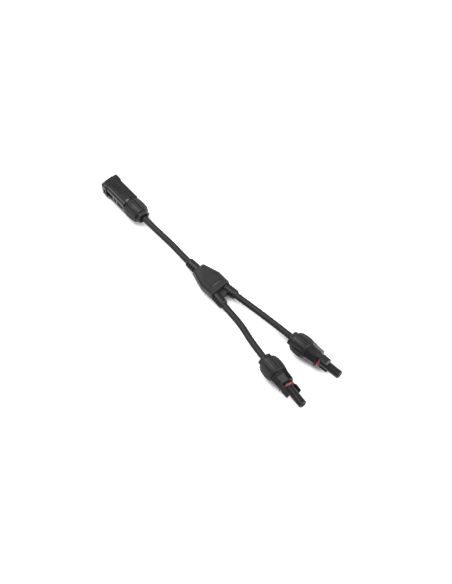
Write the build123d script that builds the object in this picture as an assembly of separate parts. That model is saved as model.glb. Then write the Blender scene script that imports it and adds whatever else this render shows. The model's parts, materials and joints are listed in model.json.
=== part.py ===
from build123d import *
import os
from math import asin, atan2, cos, degrees, hypot, pi, radians, sin, tan

# One-to-two branch lead for photovoltaic strings. Millimetres, +Z up.
# The origin is the centre of the junction's flat underside. +X runs along the
# junction, from the trunk cable towards the two branch cables. The lead lies on
# the plane z = 0, on its junction and on its three gland nuts.
# Each connector is drawn in its own frame: +X from the back of its nut to its
# mating end, on the connector's axis.

# ---- driving dimensions -------------------------------------------------------
CABLE_R = 3.0               # 4 mm2 solar cable, 6.0 mm over the jacket
JACKET_BORE_R = 1.45
CONDUCTOR_R = 1.25
AXIS_Z = 10.0               # height of the connector axes, the nut's largest radius
SLIP = 0.05                 # clearance between pieces that are assembled by hand

# junction
JN_LENGTH = 31.0
JN_THICK = 13.5
JN_NARROW = 13.0
JN_WIDE = 23.0
JN_OUTLET = 22.0
JN_SHOULDER_X = 1.5
JN_DRAFT = 0.5              # how far the sides lean in, each side of the parting plane
JN_BEVEL = (1.9, 1.4)       # width and height of the bevel along the flanks
JN_SPINE_Z = JN_THICK / 2
BOOT_LENGTH = 12.5
BOOT_R = 4.9
BOOT_CORE_R = 3.75
BOOT_SLOTS = 4
BOOT_PITCH = 2.6
BOOT_SLOT = 1.25
BOOT_SPINE = 3.0
OUTLET_Y = 6.2              # branch axes at the outlet end of the body
OUTLET_SPLAY = 6.5          # degrees that each branch turns away from +X
SPLICE = (9.0, 8.6, 5.2)
SPLICE_X = -3.0
SPLICE_WIRE_Y = 1.45        # the two branch cores lie side by side in the splice
WIRE_BEND = (2.6, 10.2)     # the branch cores spread between these two stations

# connector stations, all measured from the back of the nut
NUT_LENGTH = 19.5
NUT_R = 10.0
NUT_COLLAR = 4.2
NUT_COLLAR_FLATS = 12.8
NUT_RIBS = 14
NUT_GROOVE_R = 1.0
NUT_BORE_R = 7.75
NUT_MOUTH_R = 4.3
SLEEVE_R = 7.4              # the threaded sleeve of each housing, inside the nut
SLEEVE_BACK = 10.2
SEAL_BORE_R = 5.55
SEAL_FRONT = 17.0
COLLET_BACK = 3.7
COLLET_FRONT = 9.9
COLLET_R = 5.3
COLLET_BORE_R = 3.2
COLLET_SLOTS = 8
CRIMP_BORE_R = 2.95
CRIMP_BACK = 17.6
CRIMP_FRONT = 25.0

# male connector
MALE_LENGTH = 52.5
SHROUD = (16.8, 15.4)       # width and height behind the front collar
SHROUD_CORNER = 2.6
COLLAR = (18.6, 16.4)
COLLAR_CORNER = 2.4
COLLAR_DEPTH = 6.4
SEAT_R = 6.3                # where the mate's O-ring seals
SEAT_DEPTH = 4.6
PROBE_BORE_R = 4.05
CAVITY_DEPTH = 28.0
CHANNEL = (6.9, 8.1)        # inner and outer reach of the latch channels
CHANNEL_WIDTH = 6.4
WINDOW_FRONT = 3.0          # behind the mouth
WINDOW_BACK = 15.3
STRAP = (5.6, 6.4, 8.65)    # a thin strap across each window: front, back, inner reach
POCKET = (17.4, 20.6, 7.4)  # a blind pocket behind each window: front, back, floor
RIDGE_Y = 3.4
RIDGE_BACK = 21.0
PIN_R = 2.0
PIN_RECESS = 9.5            # tip behind the mouth, so that a finger cannot touch it

# female connectors
FEMALE_LENGTH = 54.5
BODY_BACK_FLATS = 17.4
BODY_WAIST_FLATS = 15.9
BODY_FRONT_FLATS = 15.2
BODY_WAIST_X = 23.5
BODY_FRONT_X = 31.0         # this face meets the mouth of the male connector
NOSE_R = 4.85
NOSE_X = 34.9
PROBE_R = 3.9
PROBE_BORE_R_IN = 2.95
PROBE_LIP = 1.2
TIP_HOLE_R = 2.3
SOCKET_R = 2.05
SOCKET_OUT_R = 2.6
SOCKET_DEPTH = 20.0
O_RING_X = 33.7
O_RING_WIRE_R = 0.75
LATCH_HINGE = (28.6, 7.3)   # along and out from the axis
LATCH_ARM = (6.9, 7.7)
LATCH_WIDTH = 5.0
LATCH_HEAD = (34.2, 42.2)
LATCH_HEAD_TOP = 8.5
LATCH_HEAD_WIDTH = 6.0

# where each connector lies: back of its nut, and the heading of its mating end
MALE_AT = (-91.3, 0.3, 178.0, 0.0)
RIGHT_AT = (93.5, 13.0, 4.6, 3.0)
LEFT_AT = (92.0, -19.1, -6.8, 52.0)

# cable routes, junction end first; the last point lies inside the connector
TRUNK_ROUTE = [(-14, 0, 6.75), (-31, 0, 6.75), (-56, -0.4, 7.9), (-82.0, -0.03, 10)]
RIGHT_ROUTE = [(14, 6.03, 6.75), (30.5, 7.91, 6.75), (55.5, 10.3, 8.1), (84.03, 12.24, 10)]
LEFT_ROUTE = [(14, -6.03, 6.75), (30.5, -7.91, 6.75), (55, -11.8, 8.1), (82.07, -17.92, 10)]


# ---- small helpers --------------------------------------------------------------
def rod(r, x0, x1, y=0.0, z=0.0):
    """A solid cylinder along X."""
    return Pos(x0, y, z) * extrude(Plane.YZ * Circle(r), x1 - x0)


def block(x0, x1, y0, y1, z0, z1):
    """A box between two corners."""
    centre = Pos((x0 + x1) / 2, (y0 + y1) / 2, (z0 + z1) / 2)
    return centre * Box(x1 - x0, y1 - y0, z1 - z0)


def turned(points):
    """A solid of revolution about X, from its half section in (x, radius)."""
    return revolve(Plane.XY * make_face(Polyline(*points, close=True)), Axis.X)


def prism(width, height, corner, x0, x1):
    """A rounded rectangular prism along X."""
    outline = Plane.YZ * RectangleRounded(width, height, corner)
    return Pos(x0, 0, 0) * extrude(outline, x1 - x0)


def placed(shape, at):
    """Put a connector piece where its connector lies: roll, then heading, then place."""
    x, y, heading, roll = at
    return Pos(x, y, AXIS_Z) * Rot(0, 0, heading) * Rot(roll, 0, 0) * shape


def station(at, along):
    """The point on a connector's axis at a distance from the back of its nut."""
    x, y, heading, _ = at
    return (x + along * cos(radians(heading)), y + along * sin(radians(heading)), AXIS_Z)


# ---- cable ------------------------------------------------------------------------
def route_line(points):
    """Straight runs joined by arcs that are as large as their runs allow."""
    corners = [Vector(*p) for p in points]
    radii = []
    for before, here, after in zip(corners, corners[1:], corners[2:]):
        turn = (here - before).get_angle(after - here)
        shorter = min((here - before).length, (after - here).length)
        radii.append(0.45 * shorter / tan(radians(turn) / 2))
    print("  runs", [round((b - a).length, 1) for a, b in zip(corners, corners[1:])],
          "radii", [round(r) for r in radii])
    return FilletPolyline(*corners, radius=radii)


def swept_tube(points, r_out, r_in):
    """A plain tube, or a solid wire where r_in is 0, along a route."""
    line = route_line(points)
    start = Plane(origin=line @ 0, z_dir=line % 0)
    section = Circle(r_out) - Circle(r_in) if r_in else Circle(r_out)
    tube = sweep(start * section, path=line)
    expected = (r_out**2 - r_in**2) * pi * line.length
    print(f"  length {line.length:.2f} volume {tube.volume:.1f} expected {expected:.1f}")
    return tube


def jacket(route, at):
    """The outer sheath, from inside the junction's boot to inside the cable seal."""
    return swept_tube(route + [station(at, SEAL_FRONT)], CABLE_R, JACKET_BORE_R)


def conductor(route, at, inner_end):
    """The stranded core, from the splice to the crimp of the contact."""
    return swept_tube(inner_end + route[1:] + [station(at, CRIMP_FRONT - 1)], CONDUCTOR_R, 0)


# ---- junction ------------------------------------------------------------------------
def branch_axis(side):
    """The placing of one outlet boot: its axis runs along local +X."""
    return Pos(JN_LENGTH / 2, side * OUTLET_Y, JN_SPINE_Z) * Rot(0, 0, side * OUTLET_SPLAY)


def ringed_boot():
    """A strain relief: a round sleeve with side slots, joined by a spine above and below."""
    boot = turned([(-3, 0), (-3, BOOT_R), (BOOT_LENGTH - 1.2, BOOT_R - 0.35),
                   (BOOT_LENGTH, BOOT_R - 1.2), (BOOT_LENGTH, 0)])
    for i in range(BOOT_SLOTS):
        x0 = 1.6 + i * BOOT_PITCH
        ring = rod(BOOT_R + 1, x0, x0 + BOOT_SLOT) - rod(BOOT_CORE_R, x0, x0 + BOOT_SLOT)
        boot -= ring - block(x0 - 1, x0 + 3, -BOOT_SPINE / 2, BOOT_SPINE / 2, -9, 9)
    return boot


def kite(z, draft, bevel):
    """The junction's outline at one height, drawn in by the draft and on the flanks by the bevel."""
    back, front = -JN_LENGTH / 2 + draft + bevel, JN_LENGTH / 2 - draft
    narrow, wide, outlet = [width / 2 - draft - bevel for width in (JN_NARROW, JN_WIDE, JN_OUTLET)]
    outline = Polyline((back, -narrow), (JN_SHOULDER_X, -wide), (front, -outlet), (front, outlet),
                       (JN_SHOULDER_X, wide), (back, narrow), close=True)
    return Pos(0, 0, z) * make_face(outline)


def junction_body():
    """The flat kite-shaped body, drafted both ways from its parting plane."""
    width, height = JN_BEVEL
    sections = [kite(0, 0, 0), kite(JN_SPINE_Z - height, JN_DRAFT, 0), kite(JN_SPINE_Z, JN_DRAFT, width)]
    half = loft(sections, ruled=True)
    return Pos(0, 0, JN_SPINE_Z) * (half + mirror(half, about=Plane.XY))


def splice_block(grow=0.0):
    """The outer form of the splice sleeve, grown all round."""
    half = SPLICE[0] / 2 + grow
    sleeve = prism(SPLICE[1] + 2 * grow, SPLICE[2] + 2 * grow, 2.2, SPLICE_X - half, SPLICE_X + half)
    return Pos(0, 0, JN_SPINE_Z) * sleeve


def bend_point(side):
    """Where a branch core leaves the line of its outlet, on the splice side."""
    x = WIRE_BEND[1]
    y = OUTLET_Y - (JN_LENGTH / 2 - x) * tan(radians(OUTLET_SPLAY))
    return (x, side * y, JN_SPINE_Z)


def branch_core_start(side):
    """The branch core's points between the splice and its outlet."""
    y = side * SPLICE_WIRE_Y
    return [(SPLICE_X + 0.5, y, JN_SPINE_Z), (WIRE_BEND[0], y, JN_SPINE_Z), bend_point(side)]


def junction_overmould(splice_room):
    """The moulded body with its three boots, hollow where cables, cores and splice are."""
    body = junction_body()
    pad = Pos(3.0, 0, JN_THICK) * extrude(RectangleRounded(9.5, 11.0, 1.0), 0.45)
    body += pad
    body += Pos(-JN_LENGTH / 2, 0, JN_SPINE_Z) * Rot(0, 0, 180) * ringed_boot()
    for side in (1, -1):
        body += branch_axis(side) * ringed_boot()
    body += block(JN_LENGTH / 2 - 1, JN_LENGTH / 2 + 5.5, -5, 5, JN_SPINE_Z - 2.6, JN_SPINE_Z + 2.6)
    body -= rod(CABLE_R + SLIP, -JN_LENGTH / 2 - BOOT_LENGTH - 1, -14, 0, JN_SPINE_Z)
    for side in (1, -1):
        body -= branch_axis(side) * rod(CABLE_R + SLIP, -1.5, BOOT_LENGTH + 1)
    return body - splice_room


def core_room():
    """The space that the cores take inside the junction, with a little clearance."""
    room = rod(CONDUCTOR_R + 0.1, -14.2, SPLICE_X, 0, JN_SPINE_Z)
    reach = CONDUCTOR_R + 0.45
    for side in (1, -1):
        points = [Vector(*p) for p in branch_core_start(side) + [(14.2, side * 6.05, JN_SPINE_Z)]]
        for a, b in zip(points, points[1:]):
            room += Plane(origin=a, z_dir=b - a) * extrude(Circle(reach), (b - a).length)
        for p in points[1:-1]:
            room += Pos(*p) * Sphere(reach)
    return room


# ---- pieces that all three connectors share ---------------------------------------------
def gland_nut():
    """Barrel nut with lengthwise grooves and a small six-sided collar around the cable."""
    barrel = turned([(NUT_COLLAR - 0.4, NUT_MOUTH_R), (NUT_COLLAR - 0.4, 8.5), (NUT_COLLAR + 1.0, 9.1),
                     (8.5, 9.75), (12.5, NUT_R), (16.5, 9.85), (18.6, 9.5), (NUT_LENGTH, 9.0),
                     (NUT_LENGTH, NUT_MOUTH_R)])
    for i in range(NUT_RIBS):
        groove = rod(NUT_GROOVE_R, 6.2, 17.6, 0, NUT_R + 0.25)
        barrel -= Rot(i * 360 / NUT_RIBS, 0, 0) * groove
    hexagon = Plane.YZ * RegularPolygon(NUT_COLLAR_FLATS / 2, 6, major_radius=False)
    collar = extrude(hexagon, NUT_COLLAR) & turned([(0, 0), (0, 6.6), (0.6, 7.1), (NUT_COLLAR, 7.1),
                                                    (NUT_COLLAR, 0)])
    room = turned([(-1, 0), (-1, NUT_MOUTH_R), (3.1, NUT_MOUTH_R), (3.4, 5.0), (7.2, 5.65),
                   (8.2, NUT_BORE_R), (NUT_LENGTH + 1, NUT_BORE_R), (NUT_LENGTH + 1, 0)])
    return barrel + collar - room


def clamp_collet():
    """Slotted ring whose fingers the nut's cone presses onto the cable."""
    collet = turned([(COLLET_BACK, COLLET_BORE_R), (COLLET_BACK, 4.65), (7.2, COLLET_R),
                     (COLLET_FRONT, COLLET_R), (COLLET_FRONT, COLLET_BORE_R)])
    for i in range(COLLET_SLOTS // 2):
        collet -= Rot(i * 360 / COLLET_SLOTS, 0, 0) * block(COLLET_BACK - 1, 7.6, -0.4, 0.4, -8, 8)
    return collet


def cable_seal():
    """Soft ribbed sleeve between the cable and the housing's back end."""
    back, front = SLEEVE_BACK + 0.2, SEAL_FRONT - 0.2
    points = [(back, CABLE_R + 0.02), (back, 5.1)]
    ribs = 3
    pitch = (front - back) / ribs
    for i in range(ribs):
        points.append((back + (i + 0.25) * pitch, SEAL_BORE_R - 0.02))
        points.append((back + (i + 0.75) * pitch, SEAL_BORE_R - 0.02))
        points.append((back + (i + 1) * pitch, 5.1))
    points.append((front, CABLE_R + 0.02))
    return turned(points)


def sleeve_and_chamber(front):
    """The threaded sleeve, and the stepped hole behind the contact."""
    sleeve = rod(SLEEVE_R, SLEEVE_BACK, NUT_LENGTH + 1)
    chamber = rod(SEAL_BORE_R, SLEEVE_BACK - 1, SEAL_FRONT) + rod(CRIMP_BORE_R, SEAL_FRONT - 1, front)
    return sleeve, chamber


# ---- male connector -----------------------------------------------------------------------
def latch_way():
    """One latch channel with its window, strap and blind pocket, cut from the +Y side."""
    mouth, half = MALE_LENGTH, CHANNEL_WIDTH / 2
    inner, outer = CHANNEL
    way = block(mouth - WINDOW_BACK, mouth + 1, inner, outer, -half, half)
    way += block(mouth - WINDOW_BACK, mouth - WINDOW_FRONT, inner, 12, -half, half)
    way -= block(mouth - STRAP[1], mouth - STRAP[0], STRAP[2], 13, -half - 1, half + 1)
    return way + block(mouth - POCKET[1], mouth - POCKET[0], POCKET[2], 12, -half + 0.6, half - 0.6)


def male_housing():
    """Box-shaped shroud with a front collar, two latch windows and twin ridges above and below."""
    sleeve, chamber = sleeve_and_chamber(CRIMP_FRONT)
    mouth = MALE_LENGTH
    shroud = prism(*SHROUD, SHROUD_CORNER, NUT_LENGTH + 0.4, mouth - 1)
    shroud += rod(8.7, NUT_LENGTH + 0.4, NUT_LENGTH + 3)
    body = sleeve + shroud + prism(*COLLAR, COLLAR_CORNER, mouth - COLLAR_DEPTH, mouth)
    for y in (RIDGE_Y, -RIDGE_Y):
        for z in (COLLAR[1] / 2, -COLLAR[1] / 2):
            body += block(mouth - RIDGE_BACK, mouth + 0.4, y - 0.5, y + 0.5, z - 1.2, z + 0.3)
    for z in (COLLAR[1] / 2 - 0.9, -COLLAR[1] / 2 + 0.9):
        body += block(mouth - 2, mouth + 0.4, -RIDGE_Y, RIDGE_Y, z - 0.9, z + 0.9)
    body -= chamber
    body -= rod(SEAT_R, mouth - SEAT_DEPTH, mouth + 1)
    body -= rod(PROBE_BORE_R, mouth - CAVITY_DEPTH, mouth)
    return body - latch_way() - Rot(180, 0, 0) * latch_way()


def male_pin():
    """Turned pin with a crimp barrel and a stop flange."""
    tip = MALE_LENGTH - PIN_RECESS
    pin = turned([(CRIMP_BACK, 0), (CRIMP_BACK, 2.45), (22.0, 2.45), (22.0, 2.8), (CRIMP_FRONT - 0.6, 2.8),
                  (CRIMP_FRONT - 0.6, 2.4), (CRIMP_FRONT + 0.4, 2.4), (CRIMP_FRONT + 0.4, PIN_R),
                  (tip - 0.9, PIN_R), (tip - 0.3, PIN_R - 0.45), (tip, PIN_R - 1.1), (tip, 0)])
    return pin - rod(CONDUCTOR_R + 0.02, CRIMP_BACK - 1, CRIMP_FRONT - 0.9)


# ---- female connectors ------------------------------------------------------------------------
def octagon(flats, x):
    """An octagon with flats above, below and to the sides, across the axis at x."""
    return Plane.YZ.offset(x) * Rot(0, 0, 0) * RegularPolygon(flats / 2, 8, major_radius=False, rotation=22.5)


def female_housing():
    """Eight-sided body with two latch pockets, a short nose and the long probe tube."""
    sleeve, chamber = sleeve_and_chamber(FEMALE_LENGTH - PROBE_LIP)
    body = loft([octagon(BODY_BACK_FLATS, NUT_LENGTH + 0.4), octagon(BODY_WAIST_FLATS, BODY_WAIST_X)])
    body += loft([octagon(BODY_WAIST_FLATS, BODY_WAIST_X), octagon(BODY_FRONT_FLATS, BODY_FRONT_X)])
    tip = FEMALE_LENGTH
    body += sleeve + rod(NOSE_R, BODY_FRONT_X - 1, NOSE_X)
    body += turned([(NOSE_X - 1, 0), (NOSE_X - 1, PROBE_R), (tip - 0.5, PROBE_R), (tip, PROBE_R - 0.5), (tip, 0)])
    body -= chamber
    body -= rod(TIP_HOLE_R, tip - PROBE_LIP - 1, tip + 1)
    half = LATCH_WIDTH / 2 + 0.15
    for turn in (0, 180):
        pocket = block(LATCH_HINGE[0] - 0.7, BODY_FRONT_X + 1, -half, half, 6.2, 12)
        body -= Rot(turn, 0, 0) * pocket
    return body


def socket_contact():
    """Turned socket with a crimp barrel and a stop flange."""
    mouth = FEMALE_LENGTH - PROBE_LIP - 0.1
    socket = turned([(CRIMP_BACK, 0), (CRIMP_BACK, 2.45), (22.0, 2.45), (22.0, 2.9), (CRIMP_FRONT, 2.9),
                     (CRIMP_FRONT, SOCKET_OUT_R), (mouth, SOCKET_OUT_R), (mouth, 0)])
    socket -= rod(SOCKET_R, mouth - SOCKET_DEPTH, mouth + 1)
    return socket - rod(CONDUCTOR_R + 0.02, CRIMP_BACK - 1, CRIMP_FRONT - 0.9)


def contact_spring():
    """Thin spring sleeve that keeps the socket closed on the pin."""
    mouth = FEMALE_LENGTH - PROBE_LIP - 0.1
    sleeve = rod(PROBE_BORE_R_IN - 0.05, mouth - 14, mouth - 0.4) - rod(SOCKET_OUT_R + 0.02, mouth - 15, mouth)
    return sleeve - block(mouth - 15, mouth, -0.3, 0.3, 0, 5)


def o_ring():
    """The red seal around the nose, drawn with eight flats."""
    section = Pos(O_RING_X, NOSE_R + O_RING_WIRE_R + 0.02) * RegularPolygon(O_RING_WIRE_R, 8)
    return revolve(Plane.XY * section, Axis.X)


def latch_finger():
    """One spring arm with its hooked head, on the connector's upper side."""
    hx, hz = LATCH_HINGE
    x0, x1 = LATCH_HEAD
    low, high = LATCH_ARM
    arm = Plane.XZ * (Pos(hx, hz) * Circle((high - low) / 2)
                      + make_face(Polyline((hx, low), (x0 + 1, low), (x0 + 1, high), (hx, high), close=True)))
    head = Plane.XZ * make_face(Polyline((x0, low), (x1, low), (x1, low + 0.7), (x1 - 1.6, LATCH_HEAD_TOP),
                                         (x0, LATCH_HEAD_TOP), close=True))
    solid = extrude(arm, LATCH_WIDTH / 2, both=True) + extrude(head, LATCH_HEAD_WIDTH / 2, both=True)
    return solid


# ---- assembly ----------------------------------------------------------------------------------
def write(name, shape):
    """Write one piece as one STEP file."""
    solids = shape.solids()
    print(f"{name}: {len(solids)} solid(s), {shape.volume:.1f} mm3")
    export_step(solids[0] if len(solids) == 1 else Compound(children=list(solids)), f"parts/{name}.step")


def write_gland(prefix, at):
    """Nut, collet and seal of one connector."""
    write(f"{prefix}_gland_nut", placed(gland_nut(), at))
    write(f"{prefix}_clamp_collet", placed(clamp_collet(), at))
    write(f"{prefix}_cable_seal", placed(cable_seal(), at))


def write_female(prefix, at):
    """One female connector."""
    write(f"{prefix}_housing", placed(female_housing(), at))
    write(f"{prefix}_socket_contact", placed(socket_contact(), at))
    write(f"{prefix}_contact_spring", placed(contact_spring(), at))
    write(f"{prefix}_o_ring", placed(o_ring(), at))
    write(f"{prefix}_latch_upper", placed(latch_finger(), at))
    write(f"{prefix}_latch_lower", placed(Rot(180, 0, 0) * latch_finger(), at))
    write_gland(prefix, at)


def main():
    os.makedirs("parts", exist_ok=True)
    write("trunk_jacket", jacket(TRUNK_ROUTE, MALE_AT))
    write("right_jacket", jacket(RIGHT_ROUTE, RIGHT_AT))
    write("left_jacket", jacket(LEFT_ROUTE, LEFT_AT))
    cores = {
        "trunk_conductor": conductor(TRUNK_ROUTE, MALE_AT, [(SPLICE_X - 0.5, 0, JN_SPINE_Z)]),
        "right_conductor": conductor(RIGHT_ROUTE, RIGHT_AT, branch_core_start(1)),
        "left_conductor": conductor(LEFT_ROUTE, LEFT_AT, branch_core_start(-1)),
    }
    splice = splice_block()
    for name, core in cores.items():
        write(name, core)
        splice -= core
    write("junction_splice", splice)
    write("junction_overmould", junction_overmould(splice_block(SLIP) + core_room()))
    write("male_housing", placed(male_housing(), MALE_AT))
    write("male_pin_contact", placed(male_pin(), MALE_AT))
    write_gland("male", MALE_AT)
    write_female("right", RIGHT_AT)
    write_female("left", LEFT_AT)


main()
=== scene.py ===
"""Looks for a one-to-two solar branch lead: a shrouded male connector on a trunk cable, a flat
moulded junction and two branch cables that end in female connectors.

Everything is in metres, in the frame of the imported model: +X runs from the trunk to the branches,
and the lead lies on the plane z = 0.
"""

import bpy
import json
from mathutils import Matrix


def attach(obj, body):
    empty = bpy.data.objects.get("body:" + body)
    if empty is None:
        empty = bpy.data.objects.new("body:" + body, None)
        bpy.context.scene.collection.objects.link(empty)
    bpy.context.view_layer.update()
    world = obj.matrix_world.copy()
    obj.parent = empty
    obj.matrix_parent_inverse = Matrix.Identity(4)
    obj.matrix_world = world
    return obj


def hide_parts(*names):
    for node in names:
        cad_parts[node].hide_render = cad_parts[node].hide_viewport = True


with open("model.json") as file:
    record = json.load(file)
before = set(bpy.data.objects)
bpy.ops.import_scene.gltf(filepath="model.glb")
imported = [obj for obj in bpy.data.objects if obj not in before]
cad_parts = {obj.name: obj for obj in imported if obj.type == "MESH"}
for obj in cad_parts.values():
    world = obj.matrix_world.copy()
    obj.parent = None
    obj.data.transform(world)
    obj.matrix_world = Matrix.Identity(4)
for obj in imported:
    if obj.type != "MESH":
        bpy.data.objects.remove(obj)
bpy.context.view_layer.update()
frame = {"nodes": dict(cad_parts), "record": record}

import json
import logging
import math
from dataclasses import dataclass
from enum import Enum
from typing import Sequence

import bmesh
import bpy
from mathutils import Matrix, Vector

LOG = logging.getLogger("branch_lead")
MM = 0.001
WELD_DISTANCE = 2e-6        # metres; vertices of a CAD mesh closer than this are one
FLAT_ANGLE = 0.6            # degrees; facets that turn less than this are one face
BUMP_DEPTH = 0.0002         # metres, of the moulded grain
THREAD_PITCH = 1.75         # millimetres, of every gland nut and its sleeve
STOOD_FOR: set[str] = set()  # CAD nodes that a finished piece stands for

Point = tuple[float, float, float]
Section = list[tuple[float, float]]


# ---- finishes -----------------------------------------------------------------------------------
class Graph:
    """A short way to write a node tree: nodes, their settings and their links."""

    def __init__(self, tree: bpy.types.NodeTree) -> None:
        """Wraps a node tree.

        Args:
            tree: the tree that new nodes are added to.
        """
        self.tree = tree

    def node(self, kind: str, inputs: dict | None = None, **settings: object) -> bpy.types.Node:
        """Adds a node.

        Args:
            kind: the node's bl_idname.
            inputs: socket name or index to a value, or to an output socket to link from.
            **settings: attributes of the node, such as operation="ADD".

        Returns:
            The new node.
        """
        made = self.tree.nodes.new(kind)
        for name, value in settings.items():
            setattr(made, name, value)
        for key, value in (inputs or {}).items():
            socket = made.inputs[key]
            if isinstance(value, bpy.types.NodeSocket):
                self.tree.links.new(value, socket)
            else:
                socket.default_value = value
        return made

    def maths(self, operation: str, a: object, b: object = 0.0) -> bpy.types.NodeSocket:
        """Adds a Math node and returns its output.

        Args:
            operation: the Math node's operation.
            a: the first value or socket.
            b: the second value or socket.

        Returns:
            The result socket.
        """
        return self.node("ShaderNodeMath", {0: a, 1: b}, operation=operation).outputs[0]

    def ramp(self, factor: object, low: float, high: float, start: float,
             end: float) -> bpy.types.NodeSocket:
        """Maps a factor from one range to another, held at both ends.

        Args:
            factor: the socket that is mapped.
            low: the factor that gives start.
            high: the factor that gives end.
            start: the value at low.
            end: the value at high.

        Returns:
            The mapped value.
        """
        inputs = {"Value": factor, "From Min": low, "From Max": high,
                  "To Min": start, "To Max": end}
        return self.node("ShaderNodeMapRange", inputs, clamp=True).outputs[0]

    def noise(self, coords: object, scale: float, detail: float = 2.0,
              rough: float = 0.5) -> bpy.types.NodeSocket:
        """Adds a Noise Texture.

        Args:
            coords: the coordinates socket.
            scale: cells per metre.
            detail: octaves.
            rough: roughness of the octaves.

        Returns:
            The factor socket.
        """
        inputs = {"Vector": coords, "Scale": scale, "Detail": detail, "Roughness": rough}
        return self.node("ShaderNodeTexNoise", inputs).outputs[0]


@dataclass(frozen=True)
class Finish:
    """A finish's name, and the colours, roughness and grain that every finish has."""

    name: str
    dark: tuple[float, float, float]
    light: tuple[float, float, float]
    roughness: tuple[float, float]
    grain: float = 9000.0
    bump: float = 0.04
    specular: float = 0.5

    def material(self) -> bpy.types.Material:
        """The finish's material, made once.

        Returns:
            The material of this name.
        """
        made = bpy.data.materials.get(self.name)
        if made:
            return made
        made = bpy.data.materials.new(self.name)
        made.use_nodes = True
        made.node_tree.nodes.clear()
        graph = Graph(made.node_tree)
        coords = graph.node("ShaderNodeTexCoord").outputs["Object"]
        shader = graph.node("ShaderNodeBsdfPrincipled")
        shader.inputs["Specular IOR Level"].default_value = self.specular
        self.dress(graph, coords, shader)
        graph.node("ShaderNodeOutputMaterial", {"Surface": shader.outputs[0]})
        made.diffuse_color = (*self.light, 1.0)
        return made

    def dress(self, graph: Graph, coords: bpy.types.NodeSocket, shader: bpy.types.Node) -> None:
        """Builds the cloudy colour, the roughness and the moulded grain.

        Args:
            graph: the material's graph.
            coords: the Object coordinates.
            shader: the Principled shader.
        """
        cloud = graph.noise(coords, 260.0, 4.0, 0.55)
        grain = graph.noise(coords, self.grain, 3.0, 0.6)
        mixed = graph.node("ShaderNodeMix", {0: cloud, 6: (*self.dark, 1), 7: (*self.light, 1)},
                           data_type="RGBA")
        graph.tree.links.new(mixed.outputs[2], shader.inputs["Base Color"])
        rough = graph.ramp(graph.noise(coords, 620.0, 5.0, 0.6), 0.3, 0.7, *self.roughness)
        graph.tree.links.new(rough, shader.inputs["Roughness"])
        bump = graph.node("ShaderNodeBump", {"Height": grain, "Strength": self.bump,
                                             "Distance": BUMP_DEPTH})
        graph.tree.links.new(bump.outputs[0], shader.inputs["Normal"])


@dataclass(frozen=True)
class MouldedPlastic(Finish):
    """Filled engineering plastic with a spark-eroded grain and rubbed, lighter high spots."""

    rubbed: float = 0.5

    def dress(self, graph: Graph, coords: bpy.types.NodeSocket, shader: bpy.types.Node) -> None:
        """Adds rubbed patches and fine scuffs to the shared dressing.

        Args:
            graph: the material's graph.
            coords: the Object coordinates.
            shader: the Principled shader.
        """
        cloud = graph.noise(coords, 210.0, 5.0, 0.6)
        speck = graph.noise(coords, 5200.0, 2.0, 0.5)
        stretched = graph.node("ShaderNodeMapping", {"Vector": coords, "Scale": (0.25, 1.0, 1.0)})
        scratches = graph.noise(stretched.outputs[0], 2400.0, 4.0, 0.7)
        scuff = graph.ramp(scratches, 0.60, 0.72, 0.0, 1.0)
        worn = graph.maths("MULTIPLY", graph.ramp(cloud, 0.45, 0.75, 0.0, 1.0), scuff)
        tone = graph.maths("ADD", graph.maths("MULTIPLY", cloud, 0.55),
                           graph.maths("MULTIPLY", speck, 0.45))
        tone = graph.maths("ADD", tone, graph.maths("MULTIPLY", worn, self.rubbed))
        mixed = graph.node("ShaderNodeMix", {0: tone, 6: (*self.dark, 1), 7: (*self.light, 1)},
                           data_type="RGBA")
        graph.tree.links.new(mixed.outputs[2], shader.inputs["Base Color"])
        rough = graph.ramp(graph.noise(coords, 700.0, 5.0, 0.65), 0.3, 0.7, *self.roughness)
        rough = graph.maths("SUBTRACT", rough, graph.maths("MULTIPLY", worn, 0.08))
        graph.tree.links.new(rough, shader.inputs["Roughness"])
        grain = graph.noise(coords, self.grain, 3.0, 0.65)
        wave = graph.noise(coords, 300.0, 2.0, 0.5)
        height = graph.maths("ADD", graph.maths("MULTIPLY", grain, 0.35), wave)
        bump = graph.node("ShaderNodeBump", {"Height": height, "Strength": self.bump,
                                             "Distance": BUMP_DEPTH})
        graph.tree.links.new(bump.outputs[0], shader.inputs["Normal"])


@dataclass(frozen=True)
class TinnedMetal(Finish):
    """Tinned brass: bright, a little cloudy, with drawing lines along the part."""

    def dress(self, graph: Graph, coords: bpy.types.NodeSocket, shader: bpy.types.Node) -> None:
        """Makes the finish metallic and adds lines along X.

        Args:
            graph: the material's graph.
            coords: the Object coordinates.
            shader: the Principled shader.
        """
        super().dress(graph, coords, shader)
        shader.inputs["Metallic"].default_value = 1.0
        stretched = graph.node("ShaderNodeMapping", {"Vector": coords, "Scale": (0.04, 1.0, 1.0)})
        lines = graph.noise(stretched.outputs[0], 9000.0, 2.0, 0.5)
        bump = graph.node("ShaderNodeBump", {"Height": lines, "Strength": self.bump,
                                             "Distance": 0.5 * BUMP_DEPTH})
        graph.tree.links.new(bump.outputs[0], shader.inputs["Normal"])


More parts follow.
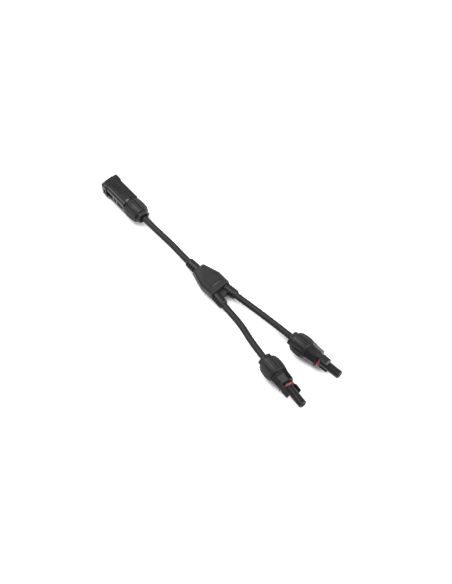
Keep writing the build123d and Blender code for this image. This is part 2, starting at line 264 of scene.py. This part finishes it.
class Finishes(Enum):
    """Every finish on the lead."""

    HOUSING = MouldedPlastic("housing_black", (0.0012, 0.0013, 0.0016), (0.0085, 0.0088, 0.0098),
                             (0.25, 0.38), 7000.0, 0.22, 0.31)
    NUT = MouldedPlastic("nut_black", (0.0040, 0.0041, 0.0045), (0.0118, 0.0122, 0.0132),
                         (0.40, 0.54), 6500.0, 0.30, 0.27)
    COLLET = MouldedPlastic("collet_grey", (0.020, 0.021, 0.022), (0.045, 0.046, 0.048),
                            (0.45, 0.60), 7000.0, 0.30, 0.5)
    OVERMOULD = MouldedPlastic("overmould_black", (0.0050, 0.0051, 0.0054),
                               (0.0135, 0.0139, 0.0149),
                               (0.38, 0.52), 4200.0, 0.34, 0.25)
    SHEATH = MouldedPlastic("cable_sheath_black", (0.0050, 0.0051, 0.0054),
                            (0.0118, 0.0122, 0.0132),
                            (0.46, 0.60), 3600.0, 0.25, 0.23)
    RED_SEAL = Finish("silicone_red", (0.16, 0.009, 0.018), (0.26, 0.018, 0.032),
                      (0.28, 0.40), 5200.0, 0.20)
    BLACK_SEAL = Finish("rubber_black", (0.006, 0.006, 0.006), (0.018, 0.018, 0.018),
                        (0.55, 0.70), 5200.0, 0.4)
    CONTACT = TinnedMetal("tinned_contact", (0.62, 0.61, 0.58), (0.78, 0.77, 0.74),
                          (0.20, 0.34), 5000.0, 0.15)
    STRANDS = TinnedMetal("tinned_strands", (0.60, 0.58, 0.54), (0.76, 0.74, 0.70),
                          (0.28, 0.42), 5000.0, 0.30)
    SPRING = TinnedMetal("spring_steel", (0.50, 0.51, 0.52), (0.66, 0.67, 0.68),
                         (0.18, 0.30), 5000.0, 0.10)

    def material(self) -> bpy.types.Material:
        """The material of this finish."""
        return self.value.material()


SLOT_FINISHES: dict[str, Finishes] = {
    "overmould": Finishes.OVERMOULD,
    "cable_jacket": Finishes.SHEATH,
    "tinned_copper": Finishes.STRANDS,
    "tinned_contact": Finishes.CONTACT,
    "spring_steel": Finishes.SPRING,
    "red_seal": Finishes.RED_SEAL,
    "black_seal": Finishes.BLACK_SEAL,
    "nut_plastic": Finishes.NUT,
    "collet_plastic": Finishes.COLLET,
    "housing_plastic": Finishes.HOUSING,
}


# ---- mesh making --------------------------------------------------------------------------------
@dataclass(frozen=True)
class Placement:
    """Where a connector lies: the back of its nut, the heading of its mating end and its roll."""

    x: float
    y: float
    heading: float
    roll: float
    height: float = 10.0

    def matrix(self) -> Matrix:
        """Works out the way from a connector's own frame to the lead's.

        Returns:
            The matrix, from millimetres to metres.
        """
        place = Matrix.Translation((self.x * MM, self.y * MM, self.height * MM))
        heading = Matrix.Rotation(math.radians(self.heading), 4, "Z")
        turn = heading @ Matrix.Rotation(math.radians(self.roll), 4, "X")
        return place @ turn @ Matrix.Scale(MM, 4)


def lathe(form: bmesh.types.BMesh, profile: Section, segments: int = 72) -> None:
    """Adds a closed ring of revolution about X.

    Args:
        form: the mesh that is added to.
        profile: a closed section in (x, radius), every radius above zero.
        segments: steps round the axis.
    """
    rings = []
    for step in range(segments):
        turn = 2 * math.pi * step / segments
        rings.append([form.verts.new((x, r * math.cos(turn), r * math.sin(turn)))
                      for x, r in profile])
    count = len(profile)
    for step in range(segments):
        here, after = rings[step], rings[(step + 1) % segments]
        for i in range(count):
            j = (i + 1) % count
            form.faces.new((here[i], here[j], after[j], after[i]))


def loft(form: bmesh.types.BMesh, sections: Sequence[Sequence[Point]]) -> None:
    """Adds a closed solid through sections that have the same number of points.

    Args:
        form: the mesh that is added to.
        sections: loops of points, in order; the first and last are capped.
    """
    loops = [[form.verts.new(point) for point in section] for section in sections]
    count = len(loops[0])
    for lower, upper in zip(loops, loops[1:]):
        for i in range(count):
            j = (i + 1) % count
            form.faces.new((lower[i], lower[j], upper[j], upper[i]))
    form.faces.new(list(reversed(loops[0])))
    form.faces.new(loops[-1])


def new_object(name: str, form: bmesh.types.BMesh,
               matrix: Matrix | None = None) -> bpy.types.Object:
    """Turns a bmesh into a linked object at the origin, with its faces pointing outwards.

    Args:
        name: the object's name.
        form: the mesh, which is freed.
        matrix: applied to the vertices.

    Returns:
        The new object.
    """
    if matrix is not None:
        form.transform(matrix)
    bmesh.ops.recalc_face_normals(form, faces=form.faces)
    mesh = bpy.data.meshes.new(name)
    form.to_mesh(mesh)
    form.free()
    made = bpy.data.objects.new(name, mesh)
    bpy.context.scene.collection.objects.link(made)
    return made


def smooth(piece: bpy.types.Object, angle: float = 32.0) -> None:
    """Shades a piece smooth, with sharp edges kept.

    Args:
        piece: the object.
        angle: the angle, in degrees, past which an edge stays sharp.
    """
    piece.data.shade_smooth()
    piece.data.set_sharp_from_angle(angle=math.radians(angle))


def soften(piece: bpy.types.Object, width: float, angle: float = 35.0, segments: int = 2) -> None:
    """Gives a piece a live bevel on its sharp edges.

    Args:
        piece: the object.
        width: of the bevel, in millimetres.
        angle: the least angle, in degrees, of a bevelled edge.
        segments: steps across the bevel.
    """
    bevel = piece.modifiers.new("edge_radius", "BEVEL")
    bevel.width = width * MM
    bevel.segments = segments
    bevel.limit_method = "ANGLE"
    bevel.angle_limit = math.radians(angle)
    bevel.harden_normals = True


def merged_copy(node: str) -> bmesh.types.BMesh:
    """Copies a node's mesh and merges its loose triangles into clean faces.

    Args:
        node: the CAD node.

    Returns:
        The merged mesh.
    """
    form = bmesh.new()
    form.from_mesh(frame["nodes"][node].data)
    bmesh.ops.remove_doubles(form, verts=form.verts, dist=WELD_DISTANCE)
    bmesh.ops.dissolve_limit(form, angle_limit=math.radians(FLAT_ANGLE), verts=form.verts,
                             edges=form.edges)
    return form


def piece_from(form: bmesh.types.BMesh, name: str) -> bpy.types.Object:
    """Turns a merged copy into a linked object and frees it.

    Args:
        form: the mesh, in metres.
        name: the object's name.

    Returns:
        The new object.
    """
    mesh = bpy.data.meshes.new(name)
    form.to_mesh(mesh)
    form.free()
    piece = bpy.data.objects.new(name, mesh)
    bpy.context.scene.collection.objects.link(piece)
    return piece


def finish_piece(piece: bpy.types.Object, finish: Finishes, body: str, slot: str,
                 *nodes: str) -> bpy.types.Object:
    """Dresses a piece and ties it to the frame.

    Args:
        piece: the object.
        finish: its finish.
        body: the CAD body that it rides on.
        slot: the record's material slot; not used.
        *nodes: the CAD nodes that it stands for.

    Returns:
        The same object.
    """
    piece.data.materials.clear()
    piece.data.materials.append(finish.material())
    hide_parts(*nodes)
    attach(piece, body)
    STOOD_FOR.update(nodes)
    LOG.info("piece %s: %d faces, %s", piece.name, len(piece.data.polygons), finish.value.name)
    return piece


class Repeater:
    """A Geometry Nodes tree that repeats one piece round or along X and joins it to its base."""

    NAME = "repeat_round_or_along"

    def __init__(self) -> None:
        """Builds the tree once."""
        self.tree = bpy.data.node_groups.get(self.NAME) or self.build()

    def build(self) -> bpy.types.NodeTree:
        """Builds the node tree.

        Returns:
            The tree.
        """
        tree = bpy.data.node_groups.new(self.NAME, "GeometryNodeTree")
        face = tree.interface
        face.new_socket("Geometry", in_out="INPUT", socket_type="NodeSocketGeometry")
        face.new_socket("Piece", in_out="INPUT", socket_type="NodeSocketObject")
        face.new_socket("Count", in_out="INPUT", socket_type="NodeSocketInt")
        for label in ("Start", "Pitch", "Turn"):
            face.new_socket(label, in_out="INPUT", socket_type="NodeSocketFloat")
        face.new_socket("Material", in_out="INPUT", socket_type="NodeSocketMaterial")
        face.new_socket("Geometry", in_out="OUTPUT", socket_type="NodeSocketGeometry")
        graph = Graph(tree)
        given = graph.node("NodeGroupInput").outputs
        index = graph.node("GeometryNodeInputIndex").outputs[0]
        along = graph.maths("ADD", graph.maths("MULTIPLY", index, given["Pitch"]), given["Start"])
        place = graph.node("ShaderNodeCombineXYZ", {0: along})
        points = graph.node("GeometryNodePoints", {"Count": given["Count"],
                                                   "Position": place.outputs[0]})
        angle = graph.maths("MULTIPLY", index, given["Turn"])
        turn = graph.node("ShaderNodeCombineXYZ", {0: angle})
        rotation = graph.node("FunctionNodeEulerToRotation", {0: turn.outputs[0]})
        piece = graph.node("GeometryNodeObjectInfo", {"Object": given["Piece"]})
        copies = graph.node("GeometryNodeInstanceOnPoints", {
            "Points": points.outputs[0], "Instance": piece.outputs["Geometry"],
            "Rotation": rotation.outputs[0]})
        real = graph.node("GeometryNodeRealizeInstances", {0: copies.outputs[0]})
        joined = graph.node("GeometryNodeJoinGeometry")
        tree.links.new(real.outputs[0], joined.inputs[0])
        tree.links.new(given["Geometry"], joined.inputs[0])
        dressed = graph.node("GeometryNodeSetMaterial", {"Geometry": joined.outputs[0],
                                                         "Material": given["Material"]})
        graph.node("NodeGroupOutput", {0: dressed.outputs[0]})
        return tree

    def apply(self, base: bpy.types.Object, piece: bpy.types.Object, **sizes: object) -> None:
        """Repeats a piece on a base, as the base's own plain mesh, and drops the piece.

        Args:
            base: the object that gets the copies.
            piece: what is repeated; it is deleted.
            **sizes: values for the tree's inputs, by name.
        """
        names = {item.name: item.identifier for item in self.tree.interface.items_tree
                 if item.in_out == "INPUT"}
        modifier = base.modifiers.new("repeat", "NODES")
        modifier.node_group = self.tree
        for label, value in {"Piece": piece, **sizes}.items():
            modifier[names[label]] = value
        bpy.context.view_layer.update()
        depsgraph = bpy.context.evaluated_depsgraph_get()
        made = bpy.data.meshes.new_from_object(base.evaluated_get(depsgraph))
        base.modifiers.remove(modifier)
        base.data = made
        bpy.data.objects.remove(piece)


# ---- gland nuts ---------------------------------------------------------------------------------
@dataclass
class GlandNut:
    """Barrel nut with raised, round-ended ribs, a front band and a six-sided collar."""

    prefix: str
    at: Placement
    ribs: int = 14
    rib_width: float = 2.5
    rib_height: float = 0.8
    rib_from: float = 4.9
    rib_to: float = 17.2
    rib_overrun: float = 0.6
    rib_round: float = 1.1
    rib_fullness: float = 3.2
    rib_tuck: float = 0.25
    rib_root: float = 1.4
    crown: float = 9.95
    crown_at: float = 12.3
    crown_span: float = 8.3
    crown_drop: float = 1.05
    thread_turns: int = 6
    thread_from: float = 19.0
    thread_crest: float = 7.78
    thread_root: float = 8.15
    corner_limit: float = 1.105
    segments: int = 84

    def top(self, x: float) -> float:
        """The radius over the ribs at a station.

        Args:
            x: millimetres from the back of the nut.

        Returns:
            The radius, in millimetres.
        """
        bulge = (x - self.crown_at) / self.crown_span
        return self.crown - self.crown_drop * bulge * bulge

    def barrel(self) -> bpy.types.Object:
        """Turns the barrel with its front band and its stepped, threaded hole.

        Returns:
            The barrel, in the connector's own frame.
        """
        form = bmesh.new()
        low = self.rib_height
        outer = [(3.9, 6.2), (3.9, 8.0), (4.25, 8.35)]
        outer += [(x, self.top(x) - low) for x in (5.4, 7.0, 9.0, 11.0, 13.0, 15.0, 16.6)]
        outer += [(17.0, self.top(17.0) - low * 0.55), (17.35, self.top(17.35) - 0.1),
                  (18.3, self.top(18.3)), (19.0, 9.15), (19.35, 8.95), (19.5, 8.6)]
        thread = [(19.5, 7.95)]
        for turn in range(self.thread_turns):
            x = self.thread_from - turn * THREAD_PITCH
            thread += [(x, self.thread_crest), (x - 0.45, self.thread_crest),
                       (x - 0.85, self.thread_root), (x - 1.3, self.thread_root)]
        inner = [(8.4, self.thread_crest), (7.4, 5.75), (3.5, 5.05), (3.3, 4.5), (3.6, 4.5)]
        lathe(form, outer + thread + inner, self.segments)
        return new_object(f"{self.prefix}_nut", form)

    def collar(self, form: bmesh.types.BMesh) -> None:
        """Adds the six-sided collar that sits round the cable.

        Args:
            form: the mesh that is added to.
        """
        steps = 12
        rows = [(0.0, 5.95, 0.35), (0.35, 6.3, 1.0), (4.1, 6.4, 1.0),
                (4.1, 4.4, 0.0), (0.5, 4.4, 0.0), (0.0, 4.75, 0.0)]
        loops = []
        for x, flat, six in rows:
            loop = []
            for step in range(6 * steps):
                turn = 2 * math.pi * step / (6 * steps)
                within = (turn % (math.pi / 3)) - math.pi / 6
                corner = min(flat / math.cos(within), flat * self.corner_limit)
                reach = flat + (corner - flat) * six
                loop.append(form.verts.new((x, reach * math.cos(turn), reach * math.sin(turn))))
            loops.append(loop)
        count = len(loops[0])
        for lower, upper in zip(loops, loops[1:] + loops[:1]):
            for i in range(count):
                j = (i + 1) % count
                form.faces.new((lower[i], lower[j], upper[j], upper[i]))

    def rib(self) -> bpy.types.Object:
        """Shapes one rib with a rounded back and ends.

        Returns:
            The rib, on the connector's upper side.
        """
        form = bmesh.new()
        across, along = 8, 18
        rows = []
        for i in range(along + 1):
            x = self.rib_from + (self.rib_to + self.rib_overrun - self.rib_from) * i / along
            end = min(1.0, (x - self.rib_from) / self.rib_round)
            swell = math.sqrt(max(0.0, 1 - (1 - end) ** 2))
            half = 0.5 * self.rib_width * (0.35 + 0.65 * swell)
            row = []
            for j in range(across + 1):
                v = -1 + 2 * j / across
                lift = (1 - abs(v) ** self.rib_fullness) * swell
                tuck = self.rib_tuck if abs(v) > 0.99 or swell == 0 else 0
                r = self.top(x) - self.rib_height + self.rib_height * lift - tuck
                row.append((x, half * v, r))
            root = self.top(x) - self.rib_root
            row += [(x, half, root), (x, -half, root)]
            rows.append(row)
        loft(form, rows)
        return new_object("rib", form)

    def build(self) -> bpy.types.Object:
        """Makes the nut.

        Returns:
            The finished nut.
        """
        nut = self.barrel()
        form = bmesh.new()
        form.from_mesh(nut.data)
        self.collar(form)
        bmesh.ops.recalc_face_normals(form, faces=form.faces)
        form.to_mesh(nut.data)
        form.free()
        Repeater().apply(nut, self.rib(), Count=self.ribs, Start=0.0, Pitch=0.0,
                         Turn=2 * math.pi / self.ribs, Material=Finishes.NUT.material())
        nut.data.transform(self.at.matrix())
        smooth(nut, angle=40)
        return finish_piece(nut, Finishes.NUT, f"{self.prefix}_nut", "nut_plastic",
                            f"{self.prefix}_gland_nut")


# ---- junction -----------------------------------------------------------------------------------
@dataclass
class Junction:
    """The moulded body: soft edges, a blank panel with a raised lip, and a lip at the outlet."""

    node: str = "junction_overmould"
    top: float = 13.5
    spine: float = 6.75
    outlet_axis: float = 6.2
    hull_draft: float = 0.19
    panel_end: float = 9.4
    panel_grow: float = 1.65
    lip_reach: float = 5.8
    panel_lip: tuple[float, float, float] = (1.6, 0.95, 0.5)
    outlet_x: float = 15.0
    outlet_reach: float = 10.2
    outlet_lip: tuple[float, float, float] = (0.95, 0.32, 0.6)
    panel_from: float = 5.0
    panel_side: float = 5.7
    panel_foot: float = 0.75
    boot_reach: float = 5.3
    hull_end: float = 15.6
    margin: float = 0.05
    edge: float = 0.3
    sharp: float = 24.0

    def lip(self, form: bmesh.types.BMesh, x: float, reach: float,
            size: tuple[float, float, float]) -> None:
        """Adds a bar across the body: a narrow crest, a long slope to the outlet end and soft ends.

        Args:
            form: the mesh that is added to.
            x: the outer foot of the slope.
            reach: half the bar's length.
            size: its width, its height over the body and how deep it is let in.
        """
        width, height, depth = size
        rows = []
        for share, full in ((-1.0, 0.25), (-0.985, 0.7), (-0.95, 1.0),
                            (0.95, 1.0), (0.985, 0.7), (1.0, 0.25)):
            lift = self.top + height * full
            row = [(x, self.top - depth), (x + 0.02, self.top - 0.30), (x - 0.10, self.top - 0.12),
                   (x - 0.72 * width, lift - 0.06), (x - 0.82 * width, lift),
                   (x - 0.92 * width, lift - 0.04),
                   (x - width, lift - 0.22), (x - width, self.top - depth)]
            rows.append([(a * MM, share * reach * MM, c * MM) for a, c in row])
        loft(form, rows)

    def stretch_panel(self, form: bmesh.types.BMesh) -> None:
        """Moves the panel's outlet edge towards the outlet end.

        Args:
            form: the body, in metres.
        """
        for vert in form.verts:
            x, y, z = vert.co / MM
            if z > self.top - self.margin and abs(y) < self.panel_side and x > self.panel_from:
                vert.co.x += self.panel_grow * MM

    def draw_in_hull(self, form: bmesh.types.BMesh) -> None:
        """Draws the lower half's flanks in, as a boat's are, and leaves the boots alone.

        Args:
            form: the body, in metres.
        """
        for vert in form.verts:
            x, y, z = vert.co / MM
            boot_y = self.outlet_axis if x > 0 else 0.0
            clear = math.hypot(abs(y) - boot_y, z - self.spine) > self.boot_reach
            if abs(x) < self.hull_end and z < self.spine - self.margin and clear:
                vert.co.y *= 1.0 - self.hull_draft * (self.spine - z) / self.spine

    def build(self) -> bpy.types.Object:
        """Merges the node's mesh, stretches the panel, adds the lips and rounds the edges.

        Returns:
            The finished body.
        """
        form = merged_copy(self.node)
        self.stretch_panel(form)
        self.draw_in_hull(form)
        body = piece_from(form, "junction_body")
        soften(body, self.edge, self.sharp)
        smooth(body, self.sharp)
        finish_piece(body, Finishes.OVERMOULD, "lead", "overmould", self.node)
        form = bmesh.new()
        self.lip(form, self.panel_end + self.panel_foot, self.lip_reach, self.panel_lip)
        self.lip(form, self.outlet_x, self.outlet_reach, self.outlet_lip)
        lips = new_object("junction_lips", form)
        smooth(lips, angle=60)
        finish_piece(lips, Finishes.OVERMOULD, "lead", "overmould", self.node)
        return body


# ---- housings, fingers and seals ----------------------------------------------------------------
@dataclass
class ShapedPart:
    """A moulded part whose form is right in the CAD: a merged copy with softened edges."""

    node: str
    finish: Finishes
    slot: str
    body: str = "lead"
    edge: float = 0.22
    angle: float = 30.0
    at: Placement | None = None
    pockets: Sequence[tuple[Point, Point]] = ()

    def carve(self, piece: bpy.types.Object) -> None:
        """Cuts the blind pockets out of the piece.

        Args:
            piece: the object that is cut.
        """
        form = bmesh.new()
        for low, high in self.pockets:
            rows = [[(x, low[1], low[2]), (x, high[1], low[2]),
                     (x, high[1], high[2]), (x, low[1], high[2])] for x in (low[0], high[0])]
            loft(form, rows)
        cutter = new_object("cutter", form, self.at.matrix())
        cut = piece.modifiers.new("pockets", "BOOLEAN")
        cut.operation = "DIFFERENCE"
        cut.solver = "EXACT"
        cut.object = cutter
        bpy.context.view_layer.update()
        depsgraph = bpy.context.evaluated_depsgraph_get()
        carved = bpy.data.meshes.new_from_object(piece.evaluated_get(depsgraph))
        piece.modifiers.remove(cut)
        piece.data = carved
        bpy.data.objects.remove(cutter)

    def build(self) -> bpy.types.Object:
        """Copies and merges the node's mesh and rounds its edges.

        Returns:
            The finished piece.
        """
        piece = piece_from(merged_copy(self.node), f"{self.node}_shell")
        if self.pockets:
            self.carve(piece)
        soften(piece, self.edge, self.angle)
        smooth(piece, angle=24)
        return finish_piece(piece, self.finish, self.body, self.slot, self.node)


@dataclass
class SleeveThread:
    """The coarse thread on a housing's sleeve, which shows when its nut is backed off."""

    prefix: str
    at: Placement
    start: float = 11.0
    pitch: float = THREAD_PITCH
    turns: int = 5
    segments: int = 72

    def ridge(self) -> bpy.types.Object:
        """Turns one round-topped ridge.

        Returns:
            The ridge, at x = 0.
        """
        form = bmesh.new()
        profile = [(-0.42, 7.30), (-0.42, 7.42), (-0.16, 7.68),
                   (0.16, 7.68), (0.42, 7.42), (0.42, 7.30)]
        lathe(form, profile, self.segments)
        return new_object("ridge", form)

    def build(self) -> bpy.types.Object:
        """Repeats the ridge along the sleeve.

        Returns:
            The finished thread.
        """
        thread = new_object(f"{self.prefix}_sleeve_thread", bmesh.new())
        Repeater().apply(thread, self.ridge(), Count=self.turns, Start=self.start,
                         Pitch=self.pitch, Turn=0.0, Material=Finishes.HOUSING.material())
        thread.data.transform(self.at.matrix())
        smooth(thread, angle=50)
        return finish_piece(thread, Finishes.HOUSING, "lead", "housing_plastic",
                            f"{self.prefix}_housing")


@dataclass
class RoundSeal:
    """The red O-ring on a female connector's nose."""

    prefix: str
    at: Placement
    x: float = 33.7
    centre: float = 5.62
    wire: float = 0.75

    def build(self) -> bpy.types.Object:
        """Turns the ring, with the faint parting ridge that moulding leaves.

        Returns:
            The finished ring.
        """
        form = bmesh.new()
        steps = 20
        profile = []
        for step in range(steps):
            turn = 2 * math.pi * step / steps
            wire = self.wire + (0.03 if step % (steps // 2) == steps // 4 else 0.0)
            profile.append((self.x + wire * math.cos(turn), self.centre + wire * math.sin(turn)))
        lathe(form, profile, segments=96)
        ring = new_object(f"{self.prefix}_seal_ring", form, self.at.matrix())
        smooth(ring, angle=60)
        return finish_piece(ring, Finishes.RED_SEAL, "lead", "red_seal", f"{self.prefix}_o_ring")


# ---- cables -------------------------------------------------------------------------------------
@dataclass
class Cable:
    """One jacketed cable, from inside a junction boot to inside a connector's seal."""

    name: str
    route: Sequence[Point]
    exit: Point
    length: float
    node: str
    body: str = "lead"
    radius: float = 3.0 * MM

    def build(self) -> bpy.types.Object:
        """Draws the sheath as a smooth curve along its route.

        Returns:
            The cable's curve.
        """
        curve = bpy.data.curves.new(self.name, "CURVE")
        curve.dimensions = "3D"
        curve.bevel_depth = self.radius
        curve.bevel_resolution = 10
        curve.resolution_u = 20
        curve.use_fill_caps = True
        spline = curve.splines.new("NURBS")
        spline.points.add(len(self.route) - 1)
        for point, place in zip(spline.points, self.route):
            point.co = (place[0] * MM, place[1] * MM, place[2] * MM, 1.0)
        spline.order_u = 3
        spline.use_endpoint_u = True
        piece = bpy.data.objects.new(self.name, curve)
        bpy.context.scene.collection.objects.link(piece)
        curve.materials.append(Finishes.SHEATH.material())
        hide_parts(self.node)
        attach(piece, self.body)
        STOOD_FOR.add(self.node)
        exit_at = tuple(value * MM for value in self.exit)
        LOG.info("cable %s: %.1f mm", self.name, self.length / MM)
        return piece


# ---- room ---------------------------------------------------------------------------------------
@dataclass
class Studio:
    """The pale floor, the soft lights and the camera."""

    look_at: Point = (16.1 * MM, 5.95 * MM, 0.0)
    azimuth: float = 47.2
    elevation: float = 59.5
    distance: float = 0.95
    lens: float = 64.3
    surround: tuple[float, float] = (0.46, 0.78)

    def build(self) -> None:
        """Makes the floor, the lights, the sky and the camera."""
        bpy.context.scene.view_settings.view_transform = "Standard"
        self.floor()
        self.sky()
        self.softbox("light_overhead", (-0.42, -0.20, 0.95), size=0.60, power=13.0)
        self.softbox("light_edge", (0.85, 0.36, 0.40), size=0.45, power=12.0)
        self.camera()

    def floor(self) -> None:
        """A plain pale floor just under the lead."""
        mesh = bpy.data.meshes.new("floor")
        form = bmesh.new()
        bmesh.ops.create_grid(form, x_segments=1, y_segments=1, size=6.0,
                              matrix=Matrix.Translation((0, 0, -0.0002)))
        form.to_mesh(mesh)
        form.free()
        floor = bpy.data.objects.new("floor", mesh)
        bpy.context.scene.collection.objects.link(floor)
        pale = bpy.data.materials.new("floor_pale")
        pale.use_nodes = True
        shader = pale.node_tree.nodes["Principled BSDF"]
        shader.inputs["Base Color"].default_value = (0.93, 0.93, 0.93, 1)
        shader.inputs["Roughness"].default_value = 0.9
        shader.inputs["Specular IOR Level"].default_value = 0.1
        mesh.materials.append(pale)

    def sky(self) -> None:
        """A soft white surround, brighter overhead."""
        world = bpy.data.worlds.new("surround")
        bpy.context.scene.world = world
        world.use_nodes = True
        graph = Graph(world.node_tree)
        background = world.node_tree.nodes["Background"]
        background.inputs["Color"].default_value = (1, 1, 1, 1)
        heading = graph.node("ShaderNodeTexCoord").outputs["Generated"]
        height = graph.node("ShaderNodeSeparateXYZ", {0: heading}).outputs[2]
        strength = graph.ramp(height, 0.10, 0.85, *self.surround)
        world.node_tree.links.new(strength, background.inputs["Strength"])

    def softbox(self, name: str, place: Point, size: float, power: float) -> None:
        """A square area light that faces the lead.

        Args:
            name: the light's name.
            place: where it hangs, in metres.
            size: its side, in metres.
            power: in watts.
        """
        light = bpy.data.lights.new(name, "AREA")
        light.size = size
        light.energy = power
        lamp = bpy.data.objects.new(name, light)
        bpy.context.scene.collection.objects.link(lamp)
        lamp.location = place
        aim = Vector(self.look_at) - Vector(place)
        lamp.rotation_euler = aim.to_track_quat("-Z", "Y").to_euler()

    def camera(self) -> None:
        """The camera, level, looking down at the lead from beyond its near side."""
        round_z, up = math.radians(self.azimuth), math.radians(self.elevation)
        back = Vector((math.sin(round_z) * math.cos(up), -math.cos(round_z) * math.cos(up),
                       math.sin(up)))
        data = bpy.data.cameras.new("camera")
        data.lens = self.lens
        camera = bpy.data.objects.new("camera", data)
        bpy.context.scene.collection.objects.link(camera)
        camera.location = Vector(self.look_at) + back * self.distance
        camera.rotation_euler = (-back).to_track_quat("-Z", "Y").to_euler()
        bpy.context.scene.camera = camera


# ---- the lead -----------------------------------------------------------------------------------
MALE_AT = Placement(-91.3, 0.3, 178.0, 0.0)
RIGHT_AT = Placement(93.5, 13.0, 4.6, 3.0)
LEFT_AT = Placement(92.0, -19.1, -6.8, 52.0)

SIDE_POCKETS = [((21.4, side * 7.55, -2.7), (29.6, side * 9.5, 3.3)) for side in (1, -1)]

CABLES = (
    Cable("trunk_cable", [(-14, 0, 6.75), (-31, 0, 6.75), (-54, 0.9, 8.2),
                          (-77.0, -0.20, 10), (-108.29, 0.89, 10)],
          (-28, 0, 6.75), 94.4 * MM, "trunk_jacket"),
    Cable("right_cable", [(14, 6.03, 6.75), (30.5, 7.91, 6.75), (55.5, 10.3, 8.1),
                          (84.03, 12.24, 10), (110.45, 14.36, 10)],
          (28, 7.6, 6.75), 96.9 * MM, "right_jacket"),
    Cable("left_cable", [(14, -6.03, 6.75), (30.5, -7.91, 6.75), (54, -10.4, 8.3),
                         (76.5, -17.25, 10), (108.88, -21.11, 10)],
          (28, -7.6, 6.75), 96.2 * MM, "left_jacket"),
)


def dress_nodes() -> None:
    """Gives every CAD node that still shows the finish of its material slot."""
    for node in frame["record"]["subparts"]:
        name = node["node"]
        if name in STOOD_FOR:
            continue
        shape = frame["nodes"][name]
        finish = SLOT_FINISHES[node["material_slot"]]
        shape.data.materials.clear()
        shape.data.materials.append(finish.material())
        LOG.info("node %s: %s", name, finish.value.name)


def main() -> None:
    """Builds the room, the cables and the finishes in order."""
    logging.basicConfig(level=logging.INFO, format="%(name)s: %(message)s")
    Studio().build()
    for cable in CABLES:
        cable.build()
    for prefix, at in (("male", MALE_AT), ("right", RIGHT_AT), ("left", LEFT_AT)):
        GlandNut(prefix, at).build()
        pockets = SIDE_POCKETS if prefix == "male" else ()
        ShapedPart(f"{prefix}_housing", Finishes.HOUSING, "housing_plastic", at=at,
                   pockets=pockets).build()
        SleeveThread(prefix, at).build()
    for prefix, at in (("right", RIGHT_AT), ("left", LEFT_AT)):
        RoundSeal(prefix, at).build()
        for side in ("upper", "lower"):
            ShapedPart(f"{prefix}_latch_{side}", Finishes.HOUSING, "housing_plastic",
                       f"{prefix}_latch_{side}_arm", 0.25).build()
    Junction().build()
    dress_nodes()


if __name__ == "__main__":
    main()
